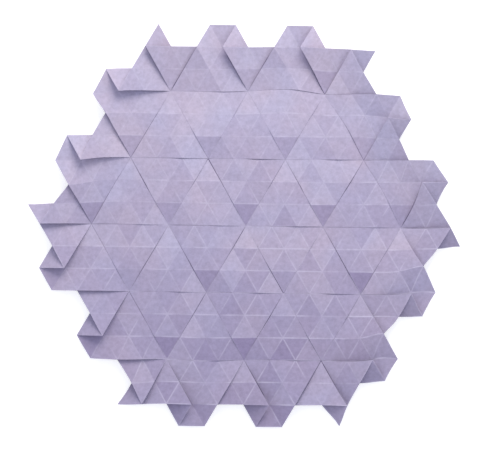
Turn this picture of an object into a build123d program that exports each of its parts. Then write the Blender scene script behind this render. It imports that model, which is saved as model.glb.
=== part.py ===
from build123d import *
import math
import os

# A hexagonal sheet of paper, creased into small triangles and folded into a field of triangular tiles.
# The sheet is one solid. Every crossing of its crease grid is moved from the flat sheet to its place in the
# folded work, and the paper's front and back are the two skins on either side of that folded sheet.

# The sheet
crease_pitch = 7.5       # side of the small triangles of the crease grid
paper_thickness = 0.15   # a sturdy craft paper

# The fold, counted in small triangles
tile_side = 3            # side of a finished tile
twist_rings = 2          # rings of hexagon twists round the one in the middle
border_rows = 4          # rows of sheet left outside the outermost twists

# How far the layers of the springy folded paper stand apart
valley_rise = 0.25       # folds under the tiles, above the hexagons that the work rests on
tuck_rise = 1.1          # edge of a tile that is tucked under its neighbour, above those folds
overlap_rise = 0.6       # edge of a tile that lies over its neighbour, above the tucked edge
tile_crown = 0.1         # middle of a tile, above the mean of its edges
slit_gap = 0.15          # each tile's edge, back from the middle of the slit
corner_gap = 0.6         # each tile's corner, back from the point where six of them meet
fin_length = 4.5         # stretch of a pleat that stands on edge, half way between two twists
flap_lift = 3.5          # how far the loose flaps round the rim curl up
flap_curl = 1.8          # how late that curl starts: 1 is a straight slope

# Values that follow from the sizes above
row_height = crease_pitch * math.sqrt(3) / 2
twist_pitch = 2 * tile_side
sheet_side = twist_pitch * twist_rings + border_rows
half_paper = paper_thickness / 2
tuck_height = valley_rise + tuck_rise
tile_height = tuck_height + overlap_rise / 2

# Shares of the rim's rise: the folds under the flaps follow it less, and the edges of a slit part
FOLD_SHARE = 0.6
OPEN_SHARE = 0.7
SHUT_SHARE = 0.15

# Rows within which a point lies as far out towards one side of the work as towards the next
SAME_ROW = 0.01

# Steps taken to find the direction across the paper at a crossing where it is folded back on itself
SEARCH_STEPS = 400

# The six directions of the crease grid, a sixth of a turn apart
DIRECTIONS = [(1, 0), (0, 1), (-1, 1), (-1, 0), (0, -1), (1, -1)]


def step(start, *moves):
    """Grid place reached from start by moves, each of a direction and a number of steps."""
    a, b = start
    for turn, count in moves:
        a += DIRECTIONS[turn % 6][0] * count
        b += DIRECTIONS[turn % 6][1] * count
    return (a, b)


def reach(place):
    """How many steps a grid place lies from the middle."""
    a, b = place
    return max(abs(a), abs(b), abs(a + b))


def places_within(radius):
    """All grid places within radius steps of the middle."""
    span = range(-radius, radius + 1)
    return [(a, b) for a in span for b in span if reach((a, b)) <= radius]


def in_space(place, height=0.0):
    """Grid place as a point in space."""
    a, b = place
    return Vector(crease_pitch * (a + b / 2), row_height * b, height)


def heading(turn):
    """Unit vector that points a number of sixths of a turn from +X."""
    angle = math.radians(60 * turn)
    return Vector(math.cos(angle), math.sin(angle))


def rows_out(point):
    """How many rows a folded point lies out towards each of the six sides of the work."""
    return [point.dot(heading(side + 0.5)) / row_height for side in range(6)]


def lift(point):
    """How far the springy rim rises at a folded point: nothing inside the outermost twists."""
    rows_outside = max(0.0, max(rows_out(point)) - tile_side * twist_rings)
    return flap_lift * (rows_outside / tile_side) ** flap_curl


def parting(point, slit):
    """How far the edges of a slit part at a folded point: on each side every second slit stands open."""
    rows = rows_out(point)
    sides = [side for side in range(6) if max(rows) - rows[side] < SAME_ROW]
    shares = [OPEN_SHARE if (side + 1 - slit) % 6 == 0 else SHUT_SHARE for side in sides]
    return sum(shares) / len(shares)


TWISTS = places_within(twist_rings)


def twist_places(twist):
    """Middle of a twist on the flat sheet and in the folded work."""
    i, j = twist
    return (twist_pitch * i, twist_pitch * j), (tile_side * i, tile_side * j)


def fold_hubs(folded):
    """The hexagons behind the meeting points: each has turned a third of a turn and lies on the table."""
    for twist in TWISTS:
        flat, middle = twist_places(twist)
        folded[flat] = in_space(middle, half_paper)
        for k in range(6):
            folded[step(flat, (k, 1))] = in_space(step(middle, (k - 2, 1)))


def fold_pleats(folded):
    """The folds behind the slits: each twist lays its six pleats under the tile on their clockwise side.

    Between two twists a pleat changes sides, and stands on edge half way along, where its crossing is drawn
    out into two points. At the rim a pleat runs straight out to the edge of the sheet. Returns the crossings
    that were drawn out, each with the direction of its pleat.
    """
    drawn_out = {}
    for twist in TWISTS:
        flat, middle = twist_places(twist)
        for k in range(6):
            aside = step(middle, (k - 1, 1))
            folded[step(flat, (k, 2))] = in_space(aside, valley_rise)
            if reach(step(twist, (k, 1))) > twist_rings:
                for run in range(2, border_rows + 1):
                    point = in_space(step(aside, (k, run - 2)), valley_rise)
                    folded[step(flat, (k, run))] = point + Vector(0, 0, FOLD_SHARE * lift(point))
            elif k < 3:
                crossing = step(flat, (k, tile_side))
                half_way = in_space(middle, valley_rise) + heading(k) * (crease_pitch * tile_side / 2)
                folded[crossing, "near"] = half_way - heading(k) * (fin_length / 2)
                folded[crossing, "far"] = half_way + heading(k) * (fin_length / 2)
                drawn_out[crossing] = k
    return drawn_out


def tile_views():
    """Every place in a tile, with how it lies as seen from the twists at the tile's corners."""
    views = {}
    for twist in TWISTS:
        flat, middle = twist_places(twist)
        for k in range(6):
            corner = step(flat, (k, 1), (k + 1, 1))
            for along in range(tile_side + 1):
                for across in range(tile_side + 1 - along):
                    place = step(corner, (k, along), (k + 1, across))
                    home = step(middle, (k, along), (k + 1, across))
                    if reach(place) <= sheet_side:
                        views.setdefault(place, []).append((k, along, across, home))
    return views


def fold_tiles(folded):
    """The tiles: they keep their shape and slide together until their edges meet in narrow slits."""
    for place, views in tile_views().items():
        nearest = min(along + across for k, along, across, home in views)
        point = in_space(views[0][3])
        inset = Vector(0, 0, 0)
        level = 0.0
        parted = 0.0
        for k, along, across, home in views:
            if along + across == 0:
                inset += heading(k + 0.5) * corner_gap
            elif across == 0:
                inset += heading(k + 1.5) * (slit_gap / len(views))
            elif along == 0:
                inset += heading(k - 0.5) * (slit_gap / len(views))
            if along + across == nearest > 0 and along == 0:
                level += 1.0
                parted += parting(point, k + 1)
            elif along + across == nearest > 0 and across == 0:
                level -= 1.0
                parted -= parting(point, k)
        height = tile_height + level * overlap_rise / 2 + lift(point) * (1.0 + parted)
        if nearest > 1 and level == 0.0:
            height += tile_crown
        folded[place] = point + inset + Vector(0, 0, height)


def small_triangles(drawn_out):
    """Corners of every small triangle of the sheet, counted anticlockwise from the front."""
    triangles = []
    for place in places_within(sheet_side):
        for k in (0, 1):
            corners = [place, step(place, (k, 1)), step(place, (k + 1, 1))]
            whole = all(reach(corner) <= sheet_side for corner in corners)
            if whole and not any(corner in drawn_out for corner in corners):
                triangles.append(corners)
    for crossing, k in drawn_out.items():
        near, far = (crossing, "near"), (crossing, "far")
        ring = [step(crossing, (k + n, 1)) for n in range(6)]
        ahead, left_far, left_near, behind, right_near, right_far = ring
        triangles += [[far, ahead, left_far], [far, left_far, left_near], [near, far, left_near]]
        triangles += [[near, left_near, behind], [near, behind, right_near]]
        triangles += [[near, right_near, right_far], [far, near, right_far], [far, right_far, ahead]]
    return triangles


def widest_direction(normals):
    """Direction that leans as far as it can towards the front of every facet with one of these normals."""
    leaning = sum(normals, Vector(0, 0, 0)).normalized()
    best = leaning
    most = min(leaning.dot(normal) for normal in normals)
    for n in range(SEARCH_STEPS):
        behind = min(normals, key=leaning.dot)
        leaning = (leaning + behind * (10 / (20 + n))).normalized()
        least = min(leaning.dot(normal) for normal in normals)
        if least > most:
            best, most = leaning, least
    return best


def across_paper(folded, triangles):
    """Direction from the back of the paper to its front at every crossing of the creases."""
    normals = {place: [] for place in folded}
    for corners in triangles:
        first, second, third = (folded[corner] for corner in corners)
        normal = (second - first).cross(third - first).normalized()
        for corner in corners:
            normals[corner].append(normal)
    return {place: widest_direction(around) for place, around in normals.items()}


def flat_face(points):
    """Flat face with straight edges through points."""
    return Face(Wire.make_polygon(points, close=True))


def folded_sheet():
    """The whole folded sheet as one solid."""
    folded = {}
    fold_hubs(folded)
    drawn_out = fold_pleats(folded)
    fold_tiles(folded)
    triangles = small_triangles(drawn_out)
    through = across_paper(folded, triangles)
    hubs = sorted(twist_places(twist)[0] for twist in TWISTS)
    front = {place: folded[place] + through[place] * half_paper for place in folded}
    back = {place: folded[place] - through[place] * half_paper for place in folded}
    rims = [step(hub, (k, 1)) for hub in hubs for k in range(6)]
    table = min(back[rim].Z for rim in rims)
    for rim in rims:
        back[rim] = Vector(back[rim].X, back[rim].Y, table)

    faces = []
    border = {}
    for corners in triangles:
        faces.append(flat_face([front[corner] for corner in corners]))
        if not any(corner in hubs for corner in corners):
            faces.append(flat_face([back[corner] for corner in reversed(corners)]))
        for n in range(3):
            edge = (corners[n], corners[(n + 1) % 3])
            if border.pop(edge[::-1], None) is None:
                border[edge] = True
    for hub in hubs:
        faces.append(flat_face([back[step(hub, (-k, 1))] for k in range(6)]))
    for start, end in border:
        faces.append(flat_face([front[start], back[start], back[end]]))
        faces.append(flat_face([front[start], back[end], front[end]]))
    return Pos(0, 0, -table) * Solid(Shell(faces))


os.makedirs("parts", exist_ok=True)
sheet = folded_sheet()
sheet.label = "folded_sheet"
export_step(sheet, "parts/folded_sheet.step")
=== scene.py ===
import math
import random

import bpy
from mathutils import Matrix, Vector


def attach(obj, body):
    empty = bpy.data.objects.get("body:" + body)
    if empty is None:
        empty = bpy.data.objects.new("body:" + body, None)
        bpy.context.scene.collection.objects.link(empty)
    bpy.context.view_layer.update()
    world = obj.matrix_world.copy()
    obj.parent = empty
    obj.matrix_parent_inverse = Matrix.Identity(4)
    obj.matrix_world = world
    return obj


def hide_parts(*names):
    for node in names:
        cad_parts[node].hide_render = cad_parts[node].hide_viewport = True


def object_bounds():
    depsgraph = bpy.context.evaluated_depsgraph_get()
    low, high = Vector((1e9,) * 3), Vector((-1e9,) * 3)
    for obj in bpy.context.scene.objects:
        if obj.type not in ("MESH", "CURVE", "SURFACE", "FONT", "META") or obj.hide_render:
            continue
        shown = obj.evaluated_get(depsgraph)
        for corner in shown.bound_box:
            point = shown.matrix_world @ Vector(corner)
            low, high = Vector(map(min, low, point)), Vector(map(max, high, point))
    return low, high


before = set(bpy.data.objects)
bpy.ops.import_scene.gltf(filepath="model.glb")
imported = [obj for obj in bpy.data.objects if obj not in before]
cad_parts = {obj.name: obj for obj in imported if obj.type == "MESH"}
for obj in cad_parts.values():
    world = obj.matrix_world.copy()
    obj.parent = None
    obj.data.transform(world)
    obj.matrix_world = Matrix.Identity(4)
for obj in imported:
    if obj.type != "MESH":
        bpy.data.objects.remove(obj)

# %% [markdown]
# The real object is one hexagonal sheet of lilac paper. It was creased all over into small triangles and
# then folded, so that larger triangular tiles meet in narrow slits and loose flaps stand out round the rim.
# Such a sheet could be folded here, crease by crease, but the CAD model already holds its folds. So this
# file starts from that model and adds what folding by hand leaves behind: small triangles that tilt, slits
# that gape unevenly, bent flaps and a fibrous, worn finish. The box of the CAD model is kept first, because
# the finished paper has to stay inside it.

cad_low, cad_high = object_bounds()
sheet_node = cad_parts["folded_sheet"]
print("box of the folded sheet, mm:", [round(1000 * side, 2) for side in cad_high - cad_low])

# %% [markdown]
# Every fold of the sheet follows one grid of equal small triangles, and so will every mark that is put on
# it. The side of a small triangle could be typed in, but a measured one can't disagree with the CAD model.
# The folded work is seventeen small triangles wide, so its box gives the side, to a hundredth of a
# millimetre. A tile has three small triangles along its side. The points where six tiles meet lie in two
# rings round the one in the middle.

# %% Measure the crease grid
triangles_wide = 17
tile_side = 3
meeting_rings = 2
crease_pitch = round((cad_high.x - cad_low.x) / triangles_wide, 5)
row_height = crease_pitch * math.sqrt(3) / 2
print("side of a small triangle, mm:", round(1000 * crease_pitch, 2))

# %% [markdown]
# This is the bare sheet, folded but not yet handled. A new mesh could be built for it, but the CAD mesh has
# the right shape already. That mesh must stay as it is, so the paper is a copy with a mesh of its own,
# without the tags that mark a CAD node. A CAD mesh comes as loose triangles. Merging its doubles joins them
# into one closed skin, so that neighbours share their points and move together. Operators act on all that
# is selected, so the paper is first made the only selected piece.

# %% Copy the folded sheet
same_place = 1e-6


def select_only(piece):
    """Makes a piece the only selected one, and the active one."""
    bpy.ops.object.select_all(action="DESELECT")
    bpy.context.view_layer.objects.active = piece
    piece.select_set(True)


paper = sheet_node.copy()
paper.data = sheet_node.data.copy()
paper.name = "lilac_paper_sheet"
paper.data.name = "lilac_paper_sheet"
for tag in list(paper.keys()):
    del paper[tag]
paper.parent = None
bpy.context.scene.collection.objects.link(paper)
select_only(paper)
bpy.ops.object.mode_set(mode="EDIT")
bpy.ops.mesh.select_all(action="SELECT")
bpy.ops.mesh.remove_doubles(threshold=same_place)
bpy.ops.object.mode_set(mode="OBJECT")
print("joined skin:", len(paper.data.vertices), "points,", len(paper.data.polygons), "triangles")

# %% [markdown]
# To change one crossing, slit or flap, the script has to know which one a point belongs to. In Blender's
# window they could be picked by hand, but there are hundreds of them. The grid is regular, so a little
# arithmetic finds them. The creases run in three directions. Across each direction a place lies a number of
# rows from the middle, and these three numbers tell its small triangle, its slit and how far out it is.

# %% Find places on the crease grid
ways_across = [(0.0, 1.0), (math.sqrt(3) / 2, -0.5), (-math.sqrt(3) / 2, -0.5)]


def rows_across(x, y):
    """Rows from the middle to a place, one number for each direction of the creases."""
    return [(x * dx + y * dy) / row_height for dx, dy in ways_across]


def rows_out(x, y):
    """How many rows a place lies outside the outermost meeting points."""
    return max(abs(rows) for rows in rows_across(x, y)) - tile_side * meeting_rings


def crossing_near(x, y):
    """The crossing of the creases nearest to a place, counted along two directions."""
    b = round(y / row_height)
    a = round(x / crease_pitch - b / 2)
    return a, b


def is_meeting_point(a, b):
    """Whether six tiles meet at a crossing."""
    return a % tile_side == 0 and b % tile_side == 0


print("rows from the outermost meeting points to the rim:", round(rows_out(0.0, cad_high.y), 2))

# %% [markdown]
# Hand-folded paper is never quite flat. Every crossing of the creases sits a little high or low, and the
# tips of the tiles dip and close up where six of them meet. A bump in the finish could imitate this, but
# moving the crossings truly tilts the small triangles, so each catches the light in its own way from every
# side. The move grows with the height above the table, so that layers lying over each other move together
# and the back still rests flat. Inside the rim the tiles are pressed down, so the steps at their edges are
# lower than in the springy CAD model.

# %% Tilt the small triangles
relief = 0.0002                  # the most that a crossing sits high or low
tip_dip = 0.00034                # how far the tips of the tiles dip
full_height = 0.0015             # height from which a crossing moves in full
tile_level = 0.00167             # height of the tiles in the CAD model
tile_floor = 0.6 * tile_level    # what lies higher than this belongs to a tile
pressed_rows = 0.1               # the tiles are pressed down as far as this many rows out
step_share = 0.35                # share of a step that pressing leaves
tip_reach = 0.001                # the farthest that a tip lies from its meeting point
tip_close = 0.85                 # share of that way by which it closes up
seeds_apart = 1000               # keeps the seeds of neighbouring crossings apart


def crossing_height(a, b):
    """How far a crossing of the front sits above or below its plain height."""
    height = relief * random.Random(seeds_apart * a + b).uniform(-1, 1)
    if is_meeting_point(a, b):
        height -= tip_dip
    return height


for point in paper.data.vertices:
    x, y, z = point.co
    a, b = crossing_near(x, y)
    to_crossing = Vector((crease_pitch * (a + b / 2), row_height * b)) - Vector((x, y))
    on_tile = z > tile_floor
    if on_tile and rows_out(x, y) < pressed_rows:
        z = tile_level + step_share * (z - tile_level)
    if on_tile and is_meeting_point(a, b) and to_crossing.length < tip_reach:
        point.co.xy += tip_close * to_crossing
    point.co.z = z + min(1.0, z / full_height) * crossing_height(a, b)
print("highest point now, mm:", round(1000 * max(point.co.z for point in paper.data.vertices), 2))

# %% [markdown]
# Paper bends in soft curves, so the small triangles are cut finer before anything is bent. A Subdivision
# Surface modifier would round off the folds, but the plain subdivide operator leaves each fold where it is.
# The crease lines have to bend with the paper too. So each point keeps its place on the crease grid, counted
# in rows, in an attribute that is made before the bending and that the finish reads later.

# %% Cut the triangles finer and note the crease grid
cuts_along_a_crease = 3
bpy.ops.object.mode_set(mode="EDIT")
bpy.ops.mesh.select_all(action="SELECT")
bpy.ops.mesh.subdivide(number_cuts=cuts_along_a_crease)
bpy.ops.mesh.quads_convert_to_tris()
bpy.ops.object.mode_set(mode="OBJECT")
crease_grid = paper.data.attributes.new("crease_grid", "FLOAT_VECTOR", "POINT")
for point in paper.data.vertices:
    crease_grid.data[point.index].vector = point.co / row_height
print("finer skin:", len(paper.data.polygons), "triangles")

# %% [markdown]
# No two small triangles of the real sheet look quite the same. A noise texture could make them differ, but
# it can't change right at a crease. A random number for each triangle can, if the triangle's own rows are
# the seed: the numbers look random, and every run still makes the same sheet.

# %% A chance for each small triangle
key_base = 131


def chance(*key):
    """A number from 0 to 1 that belongs to these whole numbers."""
    return random.Random(sum(n * key_base ** k for k, n in enumerate(key))).random()


def small_triangle(x, y):
    """Rows that a place lies in, one for each direction of the creases."""
    return [math.floor(rows) for rows in rows_across(x, y)]


middle_triangle = small_triangle(0.0, row_height / 2)
print("chance of the triangle above the middle:", round(chance(*middle_triangle), 3))

# %% [markdown]
# Some small triangles are darker than their neighbours. Part of it is tone that differs at random between
# small triangles and between tiles. The rest is painted shade and light: tips that point down at a meeting
# point get the most painted shade, the middle of a tile's foot and, lower down, the row above a level slit
# get painted shade too, and tips that point up get painted light. The sheet is also darker towards the
# bottom.
# This could be painted by hand, but a rule with a little chance in it is quicker to change. Its result is a
# second attribute, with one value for each face.

# %% Shade the small triangles
middle_share = 0.42      # share of the darkening that is reached at the middle of the sheet
shade_length = 0.08      # stretch from the palest rows down to the darkest
even_shade = 0.12        # shade of the palest rows
lower_shade = 0.46       # shade that the darkest rows have on top of that
even_spread = 0.22       # difference between neighbours
lower_spread = 0.2       # difference that the darkest rows have on top of that
tile_spread = 0.16       # difference between whole tiles
# The next five values paint shade where the tiles dip, and paint light on the tips that point up
painted_shade_foot_row = 0.1     # darker row just above a level slit, in full only at the bottom
painted_shade_down_tips = 0.16    # darker tips that point down
painted_shade_down_tip_spread = 0.24   # difference between those tips
painted_shade_foot_spread = 0.16       # difference between the middles of the tiles' feet
painted_light_up_tips = 0.12      # paler tips that point up
flap_rows = 0.2          # the flaps begin this many rows out
flap_share = 0.3         # the flaps have this share of the lower half's differences


def painted_shade_and_tone(x, y):
    """How much a small triangle is darkened, from 0 to 1, by random tone, painted shade and painted light."""
    low, right, left = small_triangle(x, y)
    # The three rows add up to -2 in a small triangle that points down, and to -1 in one that points up
    points_down = low + right + left == -2
    in_foot_row = low % tile_side == 0
    in_top_row = (low + 1) % tile_side == 0
    lower_share = min(1.0, max(0.0, middle_share - y / shade_length))
    shade = even_shade + lower_shade * lower_share
    if rows_out(x, y) > flap_rows:
        lower_share *= flap_share
    shade += (even_spread + lower_spread * lower_share) * (chance(low, right, left) - 0.5)
    shade += tile_spread * (chance(low // tile_side, right // tile_side, left // tile_side) - 0.5)
    # Painted shade on the row above a level slit, on tips that point down and at a foot's middle; painted
    # light on tips that point up
    if in_foot_row:
        shade += painted_shade_foot_row * lower_share
    if points_down and in_foot_row and (right + 1) % tile_side == 0:
        shade += painted_shade_down_tips + painted_shade_down_tip_spread * chance(right, low)
    elif not points_down and in_foot_row and (right + 2) % tile_side == 0:
        shade += painted_shade_foot_spread * chance(left, right)
    elif not points_down and in_top_row and right % tile_side == 0:
        shade -= painted_light_up_tips
    return min(1.0, max(0.0, shade))


# The attribute holds random tone together with painted shade and painted light
facet_tone_and_painted_shade = paper.data.attributes.new("facet_tone_and_painted_shade", "FLOAT", "FACE")
for facet in paper.data.polygons:
    facet_tone_and_painted_shade.data[facet.index].value = painted_shade_and_tone(facet.center.x, facet.center.y)
print("mean shade:", round(sum(facet.value for facet in facet_tone_and_painted_shade.data) / len(facet_tone_and_painted_shade.data), 3))

# %% [markdown]
# The slits between the tiles aren't even. Most are pressed almost shut at one end and gape a little at the
# other, where a thin dark line shows. Their edges could be dragged together one by one, but one share that
# changes along each slit does the same for all. Only the tiles inside the rim are pressed. The share is kept
# in a third attribute, because the finish paints a shadow line in the open stretches only.

# %% Press the slits
slit_near = 0.06     # a point this many rows from a slit's line, or nearer, is on its edge
slit_end = 2.02      # the slits end this many rows out
shut_share = 0.08    # share of its width that a slit keeps at its shut end
least_gape = 0.3     # share of its width that the wide end has at least
gape_curve = 1.4     # how late a slit starts to open: 1 is a straight wedge
slit_open = paper.data.attributes.new("slit_open", "FLOAT", "POINT")


def opening(way, line, along):
    """How far a slit stands open at a place along it, from almost shut to 1."""
    stretch = along / (tile_side * crease_pitch)
    part = math.floor(stretch)
    towards_wide_end = stretch - part
    if chance(way, line, part) < 0.5:
        towards_wide_end = 1.0 - towards_wide_end
    gape = least_gape + (1.0 - least_gape) * chance(part, line, way + len(ways_across))
    return shut_share + (1.0 - shut_share) * gape * towards_wide_end ** gape_curve


for point in paper.data.vertices:
    x, y, z = point.co
    if z < tile_floor or rows_out(x, y) > slit_end:
        continue
    for way, rows in enumerate(rows_across(x, y)):
        dx, dy = ways_across[way]
        line = tile_side * round(rows / tile_side)
        if abs(rows - line) > slit_near:
            continue
        share = opening(way, line, x * dy - y * dx)
        slit_open.data[point.index].value = share
        if rows_out(x, y) < pressed_rows:
            point.co.xy += Vector((dx, dy)) * ((share - 1.0) * (rows - line) * row_height)
print("edge points of slits:", sum(1 for edge in slit_open.data if edge.value > 0.0))

# %% [markdown]
# Some slits are bowed, because the tile beside them bulges, and handling has pushed the loose flaps of the
# rim out of true. In Blender's window this is proportional editing: a pull at one point that fades out
# around it. Here each pull is one line with its place, its push and the reach of its fade, all in metres.
# Nothing may leave the box of the CAD model, so a point that would is put back on the side of the box.

# %% Bow the slits and bend the rim
bows = [
    ((0.0115, 0.0392), (0.0001, 0.0010), 0.010),
    ((0.0290, 0.0285), (0.0006, 0.0004), 0.009),
    ((0.0392, 0.0100), (0.0008, 0.0003), 0.009),
    ((0.0235, 0.0385), (-0.0002, -0.0007), 0.007),
    ((-0.0115, -0.0392), (0.0, -0.0005), 0.009),
    ((-0.0345, 0.0095), (-0.0003, 0.0002), 0.009),
]
rim_bends = [
    ((-0.0444, 0.0397), (-0.0001, -0.0011), 0.006),
    ((-0.0530, 0.0150), (0.0008, -0.0018), 0.008),
    ((-0.0637, 0.0072), (0.0002, -0.0010), 0.006),
    ((0.0381, 0.0513), (-0.0005, -0.0005), 0.008),
    ((0.0480, 0.0340), (-0.0009, -0.0008), 0.008),
    ((0.0530, 0.0187), (-0.0021, 0.0004), 0.009),
    ((0.0600, 0.0080), (-0.0008, 0.0006), 0.007),
    ((0.0635, -0.0074), (-0.0013, 0.0014), 0.006),
    ((0.0526, -0.0137), (-0.0006, 0.0020), 0.006),
    ((0.0550, -0.0240), (-0.0009, 0.0005), 0.007),
    ((0.0409, -0.0332), (-0.0007, 0.0017), 0.005),
    ((0.0425, -0.0430), (-0.0002, 0.0012), 0.006),
    ((0.0255, -0.0588), (0.0018, 0.0006), 0.006),
    ((-0.0365, -0.0460), (0.0013, -0.0008), 0.009),
]
for point in paper.data.vertices:
    start = point.co.copy()
    for (x, y), (push_x, push_y), reach in bows + rim_bends:
        fade = math.exp(-((start.x - x) ** 2 + (start.y - y) ** 2) / reach ** 2)
        point.co.x += push_x * fade
        point.co.y += push_y * fade
    point.co = [min(max(value, low), high) for value, low, high in zip(point.co, cad_low, cad_high)]
print("bowed slits:", len(bows), "bends of the rim:", len(rim_bends))

# %% [markdown]
# Creased paper shows each small triangle as its own plane, with a crisp change of light at every fold, while
# bent paper shades softly. Flat shading would show the fine cuts in the bends, and smooth shading would
# blur the folds. Smoothing only where neighbours lie almost in one plane gives both.

# %% Keep the folds crisp
fold_angle = math.radians(0.8)
select_only(paper)
bpy.ops.object.shade_smooth_by_angle(angle=fold_angle)
print("folds kept crisp on", paper.name)

# %% [markdown]
# The paper is dyed through, so both sides have the same finish. It could be a picture wrapped round the
# sheet, but a finish made from nodes stays sharp at any distance and follows the attributes made above.
# Node work has many small steps, so a few helpers keep it readable. The first ones start a tree of nodes and
# add a node to it, with its settings and with what goes into its sockets.

# %% Start the paper's finish
def start_tree(owner):
    """The emptied node tree of a material or of the world."""
    owner.use_nodes = True
    owner.node_tree.nodes.clear()
    return owner.node_tree


def fill(socket, value):
    """Links another socket to a socket, or sets a plain value on it."""
    if isinstance(value, bpy.types.NodeSocket):
        tree.links.new(value, socket)
    else:
        socket.default_value = value


def add_node(kind, inputs=None, **settings):
    """A new node in the tree at hand, with its settings, and values or links for its inputs."""
    node = tree.nodes.new(kind)
    for name, value in settings.items():
        setattr(node, name, value)
    for name, value in (inputs or {}).items():
        fill(node.inputs[name], value)
    return node


lilac = bpy.data.materials.new("lilac_paper_finish")
tree = start_tree(lilac)
print("finish started:", lilac.name)

# %% [markdown]
# A finish like this is mostly sums: one value times another, a range stretched into another, two colours
# mixed. Each could be written out as a node with its links, but the same few lines would then come back
# dozens of times. A helper for each kind of sum makes the cells below read like the recipe that they are.

# %% Helpers for values and colours
def arithmetic(operation, first, second=0.0, third=0.0):
    """Result of one piece of arithmetic on numbers or sockets."""
    return add_node("ShaderNodeMath", {0: first, 1: second, 2: third}, operation=operation).outputs[0]


def stretched(value, start, end, low=0.0, high=1.0, curve="LINEAR"):
    """A value stretched so that start becomes low and end becomes high."""
    inputs = {"Value": value, "From Min": start, "From Max": end, "To Min": low, "To Max": high}
    return add_node("ShaderNodeMapRange", inputs, interpolation_type=curve).outputs["Result"]


def tint(blend, amount, first, second):
    """Two colours mixed by an amount."""
    node = add_node("ShaderNodeMix", data_type="RGBA", blend_type=blend)
    sockets = {socket.identifier: socket for socket in node.inputs}
    fill(sockets["Factor_Float"], amount)
    fill(sockets["A_Color"], first)
    fill(sockets["B_Color"], second)
    return next(socket for socket in node.outputs if socket.identifier == "Result_Color")


print("helpers ready:", arithmetic.__name__, stretched.__name__, tint.__name__)

# %% [markdown]
# Each crease of the real sheet shows as a hair-thin line, and the level creases show most. The lines could
# be cut into the mesh as narrow faces, but that would take far more triangles. The crease grid gives the
# number of rows at every place, and a line lies wherever that number is nearly whole. A slit lies at every
# third line, and a thin painted shadow is laid along it.

# %% Lines of the creases and slits
crease_width = 0.05                   # half the width of a crease, in rows
painted_slit_shadow_width = 0.034                    # half the width of the shade in a slit, in rows
crease_strengths = [0.85, 0.6, 0.6]   # one for each direction
grid = add_node("ShaderNodeAttribute", attribute_name="crease_grid").outputs["Vector"]


def lines_every(spacing, rows, width, strength=1.0):
    """Soft lines where a number of rows is near to a multiple of the spacing."""
    away = arithmetic("PINGPONG", rows, spacing / 2)
    return stretched(away, width, 0.0, 0.0, strength, "SMOOTHSTEP")


def strongest(lines):
    """The strongest of three sets of lines."""
    return arithmetic("MAXIMUM", arithmetic("MAXIMUM", lines[0], lines[1]), lines[2])


crease_lines = []
slit_lines = []
for (dx, dy), strength in zip(ways_across, crease_strengths):
    dot = add_node("ShaderNodeVectorMath", {0: grid, 1: (dx, dy, 0.0)}, operation="DOT_PRODUCT")
    rows = dot.outputs["Value"]
    crease_lines.append(lines_every(1, rows, crease_width, strength))
    slit_lines.append(lines_every(tile_side, rows, painted_slit_shadow_width))
creases = strongest(crease_lines)
slits = strongest(slit_lines)
print("directions with creases:", len(crease_lines))

# %% [markdown]
# Seen closely, the paper has a fine mottle of fibres, its dye drifts a little in patches, and its creases
# are worn in some places and hardly marked in others, more towards the lower right. Three noise textures of
# different sizes give these. They lie on Object coordinates, so the pattern belongs to the sheet and stays
# with it. The scales say how many spots there are to a metre. The values of a noise texture crowd round 0.5,
# so a narrow range round it is stretched to make the patches clear.

# %% Fibres, dye and wear
fibre_scale = 900.0
fibre_detail = 5.0
fibre_roughness = 0.65
dye_scale = 70.0
dye_range = (0.35, 0.65)
wear_scale = 160.0
wear_range = (0.38, 0.62)
patch_detail = 3.0
handled_way = (6.0, -9.0, 0.0)
handled_range = (-0.35, 0.45)
least_worn = 0.15
least_handled = 0.5
place = add_node("ShaderNodeTexCoord").outputs["Object"]


def mottle(scale, detail, roughness=0.5):
    """A soft random pattern on the sheet."""
    inputs = {"Vector": place, "Scale": scale, "Detail": detail, "Roughness": roughness}
    return add_node("ShaderNodeTexNoise", inputs).outputs["Fac"]


fibres = mottle(fibre_scale, fibre_detail, fibre_roughness)
dye_share = stretched(mottle(dye_scale, patch_detail), *dye_range)
worn_share = stretched(mottle(wear_scale, patch_detail), *wear_range, least_worn)
handled = add_node("ShaderNodeVectorMath", {0: place, 1: handled_way}, operation="DOT_PRODUCT")
handled_share = stretched(handled.outputs["Value"], *handled_range, least_handled)
worn_creases = arithmetic("MULTIPLY", arithmetic("MULTIPLY", creases, worn_share), handled_share)
print("nodes so far:", len(tree.nodes))

# %% [markdown]
# The colour is built up in layers: first the dye, between a bluer and a pinker lilac, then the random tone
# and painted shade of the small triangles, the fibres, the pale worn creases, and last a painted shadow line
# in each slit that stands open. One flat lilac would be simpler, but the sheet would look like plastic.

# %% The colour of the paper
pinker = (0.532, 0.468, 0.596, 1.0)
bluer = (0.498, 0.470, 0.632, 1.0)
# the lilac that random tone and painted shade lead towards
darker = (0.29, 0.247, 0.398, 1.0)
paler = (0.68, 0.645, 0.80, 1.0)
# colour of the painted shadow in the open slits
painted_slit_shadow_grey = (0.11, 0.09, 0.17, 1.0)
fibre_range = (0.3, 0.7)
fibre_contrast = 0.11
crease_paleness = 0.72
painted_slit_shadow_strength = 1.2
tone_and_painted_shade_amount = add_node("ShaderNodeAttribute", attribute_name="facet_tone_and_painted_shade").outputs["Fac"]
gaping = add_node("ShaderNodeAttribute", attribute_name="slit_open").outputs["Fac"]
fibre_shade = stretched(fibres, *fibre_range, 1.0 - fibre_contrast, 1.0 + fibre_contrast)
# Painted shadow line where a slit stands open
painted_slit_shadow_mask = arithmetic("MULTIPLY", slits, gaping)

dyed = tint("MIX", dye_share, bluer, pinker)
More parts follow.
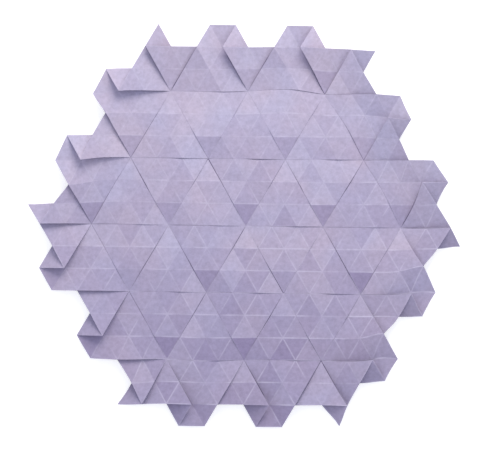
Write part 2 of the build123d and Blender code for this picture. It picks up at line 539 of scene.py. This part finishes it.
# Random tone and painted shade of the small triangles
toned_and_painted_shade = tint("MIX", tone_and_painted_shade_amount, dyed, darker)
fibrous = tint("MULTIPLY", 1.0, toned_and_painted_shade, fibre_shade)
creased = tint("MIX", arithmetic("MULTIPLY", worn_creases, crease_paleness), fibrous, paler)
# Last, the painted shadow in the open slits
paper_colour = tint("MIX", arithmetic("MULTIPLY", painted_slit_shadow_mask, painted_slit_shadow_strength), creased, painted_slit_shadow_grey)
print("colour mixed from", pinker[:3], "and", bluer[:3])

# %% [markdown]
# Paper is matt. Its fibres break up the light, and each worn crease is a shallow ridge. Both are far too fine
# to model, so a bump gives them. The weak gloss is the same all over the sheet, so it is set on the shader
# itself. Then the paper gets its slot and its body, and stands in for the CAD node.

# %% Matt surface and bump
fibre_height = 0.35
crease_height = 0.5
bump_strength = 0.25
bump_distance = 0.0001
roughness_range = (0.8, 0.95)
weak_gloss = 0.2
surface_height = arithmetic("MULTIPLY_ADD", worn_creases, crease_height,
                            arithmetic("MULTIPLY", fibres, fibre_height))
bump = add_node("ShaderNodeBump", {"Strength": bump_strength, "Distance": bump_distance,
                                   "Height": surface_height}).outputs["Normal"]
roughness = stretched(fibres, 0.0, 1.0, *roughness_range)
surface = add_node("ShaderNodeBsdfPrincipled", {"Base Color": paper_colour, "Roughness": roughness,
                                                "Normal": bump, "Specular IOR Level": weak_gloss})
add_node("ShaderNodeOutputMaterial", {"Surface": surface.outputs["BSDF"]})
paper.data.materials.clear()
paper.data.materials.append(lilac)
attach(paper, "root")
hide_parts("folded_sheet")
print("paper finished with", len(tree.nodes), "nodes")

# %% [markdown]
# The work lies on a plain white floor that takes its soft shadow. A floor lit until it is white would need
# so much light that the paper turns pale. So part of the floor's white is a glow that only the camera sees,
# and the rest is light that the paper can block. The floor lies a hair below the paper, because two faces
# in exactly the same plane show through each other.

# %% Floor
floor_size = 4.0
floor_gap = 0.00003
floor_grey = (0.8, 0.8, 0.8, 1.0)
white = (1.0, 1.0, 1.0, 1.0)
floor_glow = 0.6


def seen_plainly():
    """1 for what the camera sees, also in gloss or through glass, and 0 for the light on the paper."""
    path = add_node("ShaderNodeLightPath").outputs
    in_gloss_or_glass = arithmetic("MAXIMUM", path["Is Glossy Ray"], path["Is Transmission Ray"])
    return arithmetic("MAXIMUM", path["Is Camera Ray"], in_gloss_or_glass)


bpy.ops.object.select_all(action="DESELECT")
bpy.ops.mesh.primitive_plane_add(size=floor_size, location=(0.0, 0.0, -floor_gap))
floor = bpy.context.object
floor.name = "floor"
pale = bpy.data.materials.new("pale_floor")
tree = start_tree(pale)
matt = add_node("ShaderNodeBsdfDiffuse", {"Color": floor_grey})
glow = add_node("ShaderNodeEmission", {"Color": white,
                                       "Strength": arithmetic("MULTIPLY", seen_plainly(), floor_glow)})
both = add_node("ShaderNodeAddShader", {0: matt.outputs["BSDF"], 1: glow.outputs["Emission"]})
add_node("ShaderNodeOutputMaterial", {"Surface": both.outputs["Shader"]})
floor.data.materials.append(pale)
print("floor:", floor.name)

# %% [markdown]
# The light is soft and comes from all round, with a little more from beyond the top edge of the work. Several
# lamps could give the even part, but a plain sky needs no aiming and leaves no hard shadows. One lamp gives
# the direction, so the small triangles that lean towards it are brighter, and being near, it lights the
# lower rows a little less. The camera sees the sky as plain white.

# %% Light
sky_colour = (0.92, 0.95, 1.09, 1.0)
sky_strength = 0.72
lamp_place = (0.08, 0.36, 0.22)
lamp_size = 0.3
lamp_energy = 1.4
lamp_colour = (1.0, 0.94, 0.82)
world = bpy.data.worlds.new("soft_daylight")
bpy.context.scene.world = world
tree = start_tree(world)
sky = add_node("ShaderNodeBackground", {"Color": sky_colour, "Strength": sky_strength})
backdrop = add_node("ShaderNodeBackground", {"Color": white, "Strength": 1.0})
mixed = add_node("ShaderNodeMixShader", {0: seen_plainly(), 1: sky.outputs[0], 2: backdrop.outputs[0]})
add_node("ShaderNodeOutputWorld", {"Surface": mixed.outputs[0]})
bpy.ops.object.light_add(type="AREA", location=lamp_place)
lamp = bpy.context.object
lamp.name = "window_light"
lamp.data.shape = "DISK"
lamp.data.size = lamp_size
lamp.data.energy = lamp_energy
lamp.data.color = lamp_colour
lamp.rotation_euler = (-lamp.location).to_track_quat("-Z", "Y").to_euler()
print("lamp energy, W:", lamp_energy)

# %% [markdown]
# The work is seen from straight above and from far away, because all its tiles show the same shape. An
# orthographic camera would do, but a long lens one metre up is what a real camera has. The work lies turned
# in the picture by a little under a degree and a little off the middle. So the camera is turned and shifted,
# and the work stays square in its frame.

# %% Camera
frame_width = 0.1401
camera_place = (-0.00169, -0.00032, 1.0)
camera_turn = math.radians(0.8)
sensor_width = 36.0
nearest_seen = 0.01
farthest_seen = 10.0
bpy.ops.object.camera_add(location=camera_place, rotation=(0.0, 0.0, camera_turn))
camera = bpy.context.object
camera.name = "camera_above"
camera.data.sensor_width = sensor_width
camera.data.lens = sensor_width * camera.location.z / frame_width
camera.data.clip_start = nearest_seen
camera.data.clip_end = farthest_seen
bpy.context.scene.camera = camera
bpy.context.scene.view_settings.view_transform = "Standard"
print("lens, mm:", round(camera.data.lens, 1))
